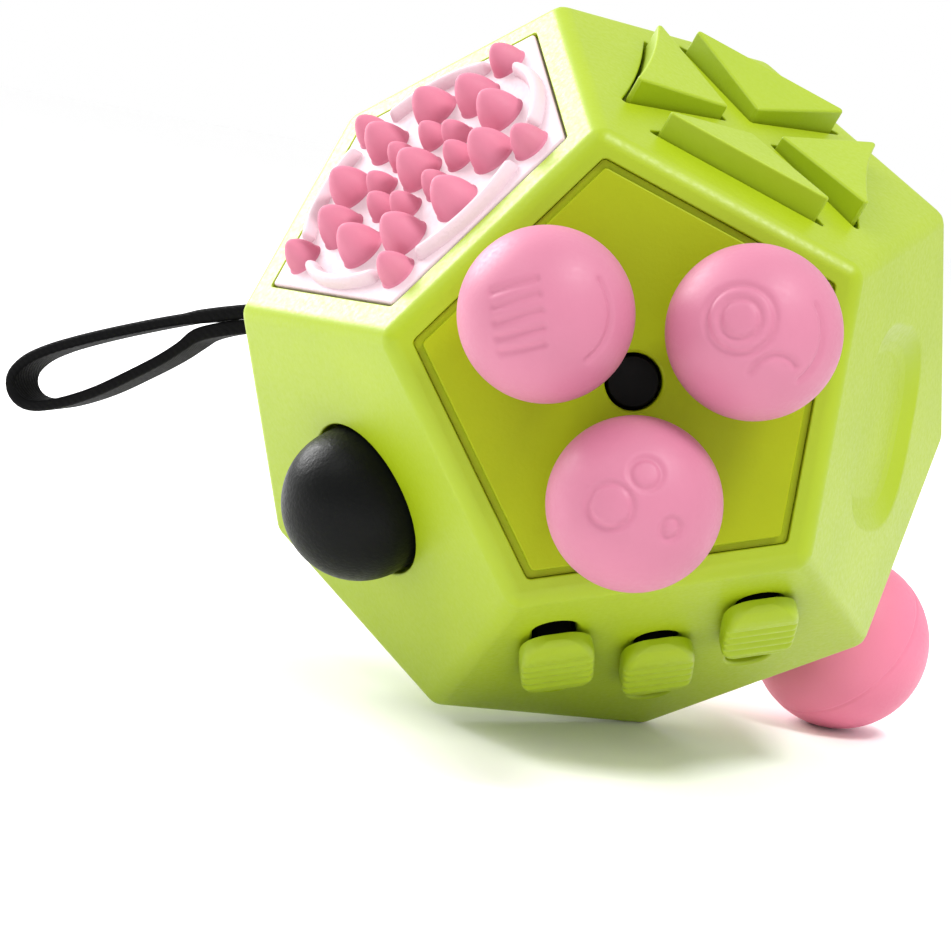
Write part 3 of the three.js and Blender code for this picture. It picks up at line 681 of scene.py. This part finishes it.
def distance_to(stroke_points, spots):
    """Distance from each spot to a polyline."""
    best = np.full(len(spots), 1e9)
    for a, b in zip(stroke_points, stroke_points[1:]):
        side = b - a
        share = np.clip(((spots - a) @ side) / (side @ side), 0, 1)
        best = np.minimum(best, np.linalg.norm(spots - a - share[:, None] * side, axis=1))
    return best


def patterned_ball(strokes):
    """A ball with shallow rounded grooves round its outer pole and a bore in its inner one."""
    fine = np.radians(np.concatenate([np.linspace(0.8, 68, 62), np.linspace(71, 168, 30)]))
    rings = [(BALL_RADIUS * math.sin(t), BALL_HEIGHT + BALL_RADIUS * math.cos(t)) for t in fine[::-1]]
    points, faces = lathe([(0, 10), (BALL_BORE, 10), *rings, (0, BALL_HEIGHT + BALL_RADIUS)], 168)
    points = np.array(points)
    offset = points - (0, 0, BALL_HEIGHT)
    reach = np.linalg.norm(offset, axis=1)
    polar = np.arccos(np.clip(offset[:, 2] / reach, -1, 1))
    turn = np.arctan2(offset[:, 1], offset[:, 0])
    spots = np.column_stack([np.cos(turn), np.sin(turn)]) * (polar * BALL_RADIUS)[:, None]
    near = np.min([distance_to(line, spots) for line in strokes], axis=0)
    depth = PATTERN_DEPTH * np.exp(-((near / PATTERN_WIDTH) ** 2)) * (reach > BALL_RADIUS - 0.01)
    return [tuple(p) for p in points - offset / reach[:, None] * depth[:, None]], faces


def add_balls():
    plate = new_object("ball_side_plate", slab(pentagon(PLATE_APOTHEM, True, 0.35), -PLATE_DEPTH, 0, 0.14))
    lower = slab(pentagon(PLATE_STEP - GAP, True), -2.4, -PLATE_DEPTH + 0.01, 0.01)
    ledge = slab(pentagon(PLATE_APOTHEM + PLATE_SLIT - 0.04, True, 0.4), -PLATE_DEPTH, -0.5, 0.03)
    carved(plate, [lower, ledge], "UNION")
    holes = [opening(circle(PLATE_HOLE), -4, 0.26)]
    holes += [opening(circle(BALL_BORE, 40, spot), -4, 0.15) for spot in BALL_SPOTS]
    carved(plate, holes)
    finished(plate, "balls", "case", ["ball_plate"], OLIVE, 30)
    # The cap under the plate's middle hole is black so that the hole looks dark inside: painted shade.
    cap = [(0, -3.5), (3.2, -3.5), (3.2, -2.7), (1.95, -2.7), (1.95, -0.5), (0, -0.5)]
    cap = lathe(softened(cap, 0.12, 4, closed=False))
    piece("plate_hole_cap", cap, "balls", "case", ["plate_cap"], BLACK)
    pin = [(0, -3.4), (2, -3.4), (2, -2.7), (1, -2.7), (1, 9.75), (0, 9.75)]
    pin = lathe(softened(pin, 0.1, 3, closed=False), 32)
    for i, (x, y) in enumerate(BALL_SPOTS, 1):
        ball = moved(patterned_ball(PATTERNS[i - 1]), at(x, y))
        piece(f"fidget_ball_{i}", ball, "balls", f"ball_{i}", [f"spin_ball_{i}"], PINK, 60)
        piece(f"ball_pivot_{i}", moved(pin, at(x, y)), "balls", "case", [f"ball_pin_{i}"], STEEL)


add_balls()

# ---- massage pad ----

# Each nub's radius and height; each ring's kind of nub, their count, its radius and its first angle.
NUBS = {"large": (1.85, 2.9), "medium": (1.45, 2.3), "small": (1.25, 2.1)}
NUB_RINGS = [("large", 1, 0, 90), ("small", 8, 4.1, 90), ("large", 10, 8, 90), ("medium", 5, 12, 54)]
PAD_TOP, RIDGE_RADIUS, RIDGE_HALF, RIDGE_HEIGHT = 0.1, 11.5, 27, 1.0


def nub(kind):
    """A nub like a blunt cone that swells out of the pad."""
    radius, height = NUBS[kind]
    foot = [(0, -0.2), (radius + 0.12, -0.2), (radius + 0.12, PAD_TOP)]
    side = [(radius * (1 - t ** 1.6) ** 0.62, PAD_TOP + height * t) for t in np.linspace(0.04, 0.995, 22)]
    return lathe([*foot, *side, (0, PAD_TOP + height)], 36)


def add_pad():
    ridges = []
    for i in range(5):
        middle = 90 + 72 * i
        path = arc((0, 0), RIDGE_RADIUS, middle - RIDGE_HALF, middle + RIDGE_HALF, 40)
        ridges.append(bar_along(path, 0.6, PAD_TOP + RIDGE_HEIGHT, -0.2))
    pad = new_object("massage_pad_base", slab(pentagon(PAD_APOTHEM, radius=0.3), -1.1, PAD_TOP, 0.2))
    carved(pad, ridges, "UNION")
    finished(pad, "massage", "case", ["massage_pad"], PALE, 40)
    for ring, (kind, count, radius, first) in enumerate(NUB_RINGS, 1):
        for i in range(count):
            shape = moved(nub(kind), at(*polar(radius, first + 360 / count * i)))
            piece(f"massage_nub_{ring}_{i + 1}", shape, "massage", "case", [], NUB_PINK, 70)


add_pad()

# ---- arrow buttons ----


def add_arrows():
    """Buttons whose tops rise from the tip to the outer edge, each on a wider foot."""
    low, high = 1.1, 2.1
    for name, angle, size in ARROWS:
        outer, apex = ARROW_SIZES[size][:2]
        slope = (high - low) / (outer - apex)
        points, faces = slab(arrow_outline(size), -2.5, low, 0.22)
        points = [(x, y, z + (slope * (x - apex) if z > 0 else 0)) for x, y, z in points]
        button = new_object(f"arrow_key_{name}", (points, faces))
        carved(button, [slab(arrow_outline(size, 0.8), -3.6, -2.4, 0.1)], "UNION")
        button.data.transform(turn_about("Z", angle))
        finished(button, "arrows", f"arrow_{name}", [f"arrow_button_{name}"], BUTTON, 30)


add_arrows()

# ---- sliders ----

SLIDER_WIDTH, SLIDER_LENGTH, SLIDER_TOP, SLIDER_FOOT, SLIDER_BOW = 5.9, 8.9, 2.0, 0.45, 0.85
RIB_PITCH, RIB_DEPTH, RIB_COUNT, RIB_MIDDLE = 1.35, 0.3, 5, -0.75


def slider_cap():
    """A cap lofted along the slot: bowed ends, rounded shoulders and cross ribs."""
    half_width, half_length, side_round, end_round = SLIDER_WIDTH / 2, SLIDER_LENGTH / 2, 0.6, 1.3
    ends = half_length * (1 - np.geomspace(0.0006, 0.28, 18))
    along = np.unique(np.concatenate([-ends, ends, np.linspace(-ends[-1], ends[-1], 110)]))
    rings = []
    for y in along:
        share = abs(y) / half_length
        width = half_width * (1 - share ** 5) ** 0.2
        past = max(0, abs(y) - half_length + end_round) / end_round
        top = SLIDER_TOP - 1.1 * (1 - math.sqrt(max(0, 1 - past * past)))
        ribbed = min(1, max(0, (RIB_COUNT * RIB_PITCH / 2 - abs(y - RIB_MIDDLE)) / 0.3))
        wave = 0.5 + 0.5 * math.cos(2 * math.pi * (y - RIB_MIDDLE) / RIB_PITCH)
        radius = min(side_round, width * 0.9, (top - SLIDER_FOOT) * 0.8)
        right = arc((width - radius, top - radius), radius, 0, 90, 7)
        left = arc((radius - width, top - radius), radius, 90, 180, 7)
        ring = []
        for x, z in [(width, SLIDER_FOOT), *right, *left, (-width, SLIDER_FOOT)]:
            inside = min(1, max(0, (width - abs(x)) / 0.5)) if z > SLIDER_FOOT else 0
            bow = SLIDER_BOW * (y / half_length) * (1 - (x / half_width) ** 2)
            ring.append((x, y + bow, z - RIB_DEPTH * ribbed * wave ** 1.4 * inside))
        rings.append(ring)
    return loft(rings)


def add_sliders():
    for i, (x, _, rest) in enumerate(SLIDERS, 1):
        cap = moved(slider_cap(), at(x, rest))
        stem = moved(slab(rectangle(2.9, 6, 0.3), -3.5, SLIDER_FOOT + 0.1, 0.02), at(x, rest))
        piece(f"slide_thumb_{i}", cap, "sliders", f"slider_{i}", [f"slider_cap_{i}"], BUTTON, 50)
        piece(f"slide_stem_{i}", stem, "sliders", f"slider_{i}", [], BLACK)


add_sliders()

# ---- dome ----


def add_dome():
    radius, height = 6.27, 0.57
    skirt = softened([(1.9, -3.4), (7.5, -3.4), (7.5, -2.4), (radius, -2.4), (radius, height)],
                     [0, 0.15, 0.15, 0.2, 0], 4, closed=False)
    crown = arc((0, height), radius, 3, 87, 28)
    shape = lathe([(0, -0.3), (1.9, -0.3), *skirt, *crown, (0, height + radius)], 96)
    piece("black_dome", shape, "dome", "dome", ["dome"], GRAINED, 40)


add_dome()

# ---- joystick ----


def add_joystick():
    radius, height, stem, pivot = 8.05, 12.9, 2.2, -6
    bore_top = height + 2.3
    below, belt, above = np.linspace(164, 94, 36), np.linspace(93, 87, 13), np.linspace(86, 2, 42)
    wall = []
    for t in np.radians([*below, *belt, *above]):
        seam = 0.09 * math.exp(-((t - math.pi / 2) * radius / 0.16) ** 2)
        wall.append(((radius - seam) * math.sin(t), height + (radius - seam) * math.cos(t)))
    ball = lathe([(0, bore_top), (stem + GAP, bore_top), *wall, (0, height + radius)], 96)
    # The knob wears the lightened pink, painted light against the floor's shade.
    piece("joystick_knob", ball, "joystick", "joystick", ["joystick_ball"], LIT_KNOB_PINK, 60)
    piece("joystick_rod", rod(stem, -7.9, 14.9, 0.2), "joystick", "joystick", ["joystick_stem"], GREY)
    outer, wall_thickness, reach = 6.6, 0.8, 66
    first = math.degrees(math.asin((stem + GAP) / outer))
    outside = [(y, pivot + x) for x, y in arc((0, 0), outer, first, reach, 24)]
    inside = [(y, pivot + x) for x, y in arc((0, 0), outer - wall_thickness, reach, first, 24)]
    inside[-1] = (outside[0][0], inside[-1][1])
    shroud = lathe([*outside, *inside], 80)
    piece("joystick_shroud", shroud, "joystick", "joystick", ["stem_skirt"], BLACK, 40)


add_joystick()

# ---- rocker ----


def add_rocker():
    across, along, above = ROCKER_LENGTH + 2 * GAP, ROCKER_WIDTH + 2 * GAP, 0.6
    rim = rectangle(across + 2 * BEZEL, along + 2 * BEZEL, 1.5)
    bezel = new_object("rocker_bezel", slab(rim, -4, above, 0.35))
    carved(bezel, [moved(opening(rectangle(across, along, 0.4), -8, 0.2), at(z=above))])
    finished(bezel, "rocker", "case", ["rocker_frame"], BLACK)
    foot, top, rise, dip = 5.4, 5.5, 3.6, 1.1
    saddle = [(top * t, rise - dip * (1 - t * t)) for t in np.linspace(1, -1, 25)]
    radii = [0.3, 0.3, 0.3, 0.45] + [0] * 23 + [0.45]
    profile = softened([(-foot, -1.2), (0, -1.7), (foot, -1.2), *saddle], radii)
    half = ROCKER_WIDTH / 2
    key = moved(slab(profile, -half, half, 0.3, 0.3), turn_about("X", 90))
    key = moved(key, at(z=-2.3) @ turn_about("Y", 9))
    piece("rocker_key", key, "rocker", "rocker", ["rocker"], OLIVE)


add_rocker()

# ---- toothed wheels ----


def add_wheels():
    teeth, root, width, depth = 14, 4.3, 3, -3.2
    points = []
    for i in range(teeth):
        for share, radius in ((-0.3, root), (-0.15, WHEEL_RADIUS), (0.15, WHEEL_RADIUS), (0.3, root)):
            points.append(polar(radius, (i + share) * 360 / teeth))
    outline = softened(points, 0.18, 3)
    for i, step in enumerate((-1, 0, 1), 1):
        wheel = new_object(f"thumb_wheel_{i}", slab(outline, -width / 2, width / 2, 0.12, 0.12, 3))
        carved(wheel, [slab(circle(1.2, 40), -3, 3)])
        wheel.data.transform(at(step * WHEEL_PITCH, 0, depth) @ turn_about("Y", 90))
        finished(wheel, "wheels", f"wheel_{i}", [f"toothed_wheel_{i}"], PINK)
    axle = moved(rod(0.9, -7.6, 7.6), at(z=depth) @ turn_about("Y", 90))
    piece("wheel_spindle", axle, "wheels", "case", ["wheel_axle"], STEEL)


add_wheels()

# ---- click buttons ----


def add_clicks():
    foot = [(0, -3.4), (3.3, -3.4), (3.3, -2.4)]
    corners = [*foot, (CLICK_RADIUS, -2.4), (CLICK_RADIUS, 1.4), (1.7, 1.4), (0, 1.15)]
    profile = softened(corners, [0, 0.15, 0.15, 0.1, 0.5, 0.4, 0], 6, closed=False)
    for i, step in enumerate((-1, 0, 1), 1):
        button = moved(lathe(profile, 64), at(step * CLICK_PITCH))
        piece(f"click_key_{i}", button, "clicks", f"click_{i}", [f"click_button_{i}"], PINK, 50)


add_clicks()

# ---- dial ----


def add_dial():
    radius, flute, flutes, top = 9.4, 0.45, 20, 2.6
    outline = []
    for angle in np.linspace(0, 360, flutes * 14, endpoint=False):
        wave = flute * (1 - math.cos(math.radians(angle * flutes))) / 2
        outline.append(polar(radius - wave, angle))
    disc = new_object("thumb_dial", slab(outline, 0.3, top, 0.45, 0.15, 6))
    carved(disc, [rod(2.6, -3.8, 0.4, 0.15)], "UNION")
    dimple = [(0, -1.2), *arc((0, 1.8), 3, 276, 320, 11)]
    flare = [(2.66, 0.012), (2.66, OUTSIDE), (0, OUTSIDE)]
    dimple = moved(lathe([*dimple, *flare]), at(4.57, 0, top))
    groove = lathe([(7.5, 0), *arc((7.75, 0.1), 0.35, 200, 340, 8), (8.1, OUTSIDE), (7.4, OUTSIDE)], 96)
    carved(disc, [dimple, moved(groove, at(z=top))])
    finished(disc, "dial", "dial", ["dial"], PINK)


add_dial()

# ---- springs ----

SPRING_WIRE = 0.2


def coil(radius, bottom, top, turns):
    """A wire coil of even pitch."""
    low, high = bottom + SPRING_WIRE, top - SPRING_WIRE
    rings = []
    for share in np.linspace(0, 1, int(turns * 56) + 1):
        angle = 2 * math.pi * turns * share
        side = Vector((math.cos(angle), math.sin(angle), 0))
        middle = side * radius + Vector((0, 0, low + (high - low) * share))
        spots = circle(SPRING_WIRE, 12)
        rings.append([middle - side * x + Vector((0, 0, y)) for x, y in spots])
    return loft(rings)


def add_springs():
    bottom, top, travel = -8.1, -5.2, DOME_PRESS["range_m"][1] / MM
    spring = piece("dome_coil", coil(4, bottom, top, 3), "dome", "case", ["dome_spring"], STEEL, 60)
    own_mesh(spring)
    piece("joystick_coil", coil(3, -10.1, -8.8, 1.5), "joystick", "case", ["joystick_spring"], STEEL, 60)


add_springs()

# ---- inner pieces that keep their frame shape ----

KEPT = [
    (BLACK, ["slider_foot_1", "slider_foot_2", "slider_foot_3", "slide_plate"]),
    (RUBBER, ["button_membrane", "click_pad"]),
    (GREY, ["dome_carrier", "dome_cup", "joystick_cup", "gimbal_ring", "strap_cage", "wheel_bracket"]),
    (STEEL, ["stem_pin", "gimbal_pin_1", "gimbal_pin_2", "rocker_pin", "strap_pin", "dial_clip",
             "detent_leaf"]),
]
for (kept_material, _), names in KEPT:
    for kept_name in names:
        kept = frame["nodes"][kept_name].data.materials
        kept.clear()
        kept.append(kept_material)

# ---- studio ----

# Each light's place, size and power.
LIGHTS = {
    "rim": ((-0.36, 0.31, 0.27), 0.30, 3.3),
    "key": ((-0.30, -0.16, 0.40), 0.20, 0.35),
    "top": ((0.16, -0.18, 0.42), 0.12, 1.3),
}
LIT_POINT = Vector((0, 0, 0.028))
FLOOR_HALF = 2


def add_floor():
    corners = [(x * FLOOR_HALF, y * FLOOR_HALF, 0) for x, y in ((-1, -1), (1, -1), (1, 1), (-1, 1))]
    floor = new_object("studio_floor", (corners, [(0, 1, 2, 3)]))
    nodes = Nodes("studio_paper")
    nodes.colour(nodes.blend(nodes.noise(4, 2), linear(253, 253, 253), linear(255, 255, 255)))
    nodes.set(Roughness=0.8, Specular_IOR_Level=0.2)
    floor.data.materials.append(nodes.material)


def add_light(name, place, size, power):
    light = bpy.data.objects.new(name, bpy.data.lights.new(name, "AREA"))
    bpy.context.scene.collection.objects.link(light)
    light.data.shape = "DISK"
    light.data.size = size
    light.data.energy = power
    light.location = place
    light.rotation_mode = "QUATERNION"
    light.rotation_quaternion = (LIT_POINT - Vector(place)).to_track_quat("-Z", "Y")


def add_world():
    world = bpy.data.worlds.new("studio")
    world.use_nodes = True
    background = world.node_tree.nodes["Background"]
    background.inputs["Color"].default_value = (1, 1, 1, 1)
    background.inputs["Strength"].default_value = 1.0
    bpy.context.scene.world = world


add_floor()
for light_name, settings in LIGHTS.items():
    add_light(light_name, *settings)
add_world()
bpy.context.scene.view_settings.view_transform = "Standard"
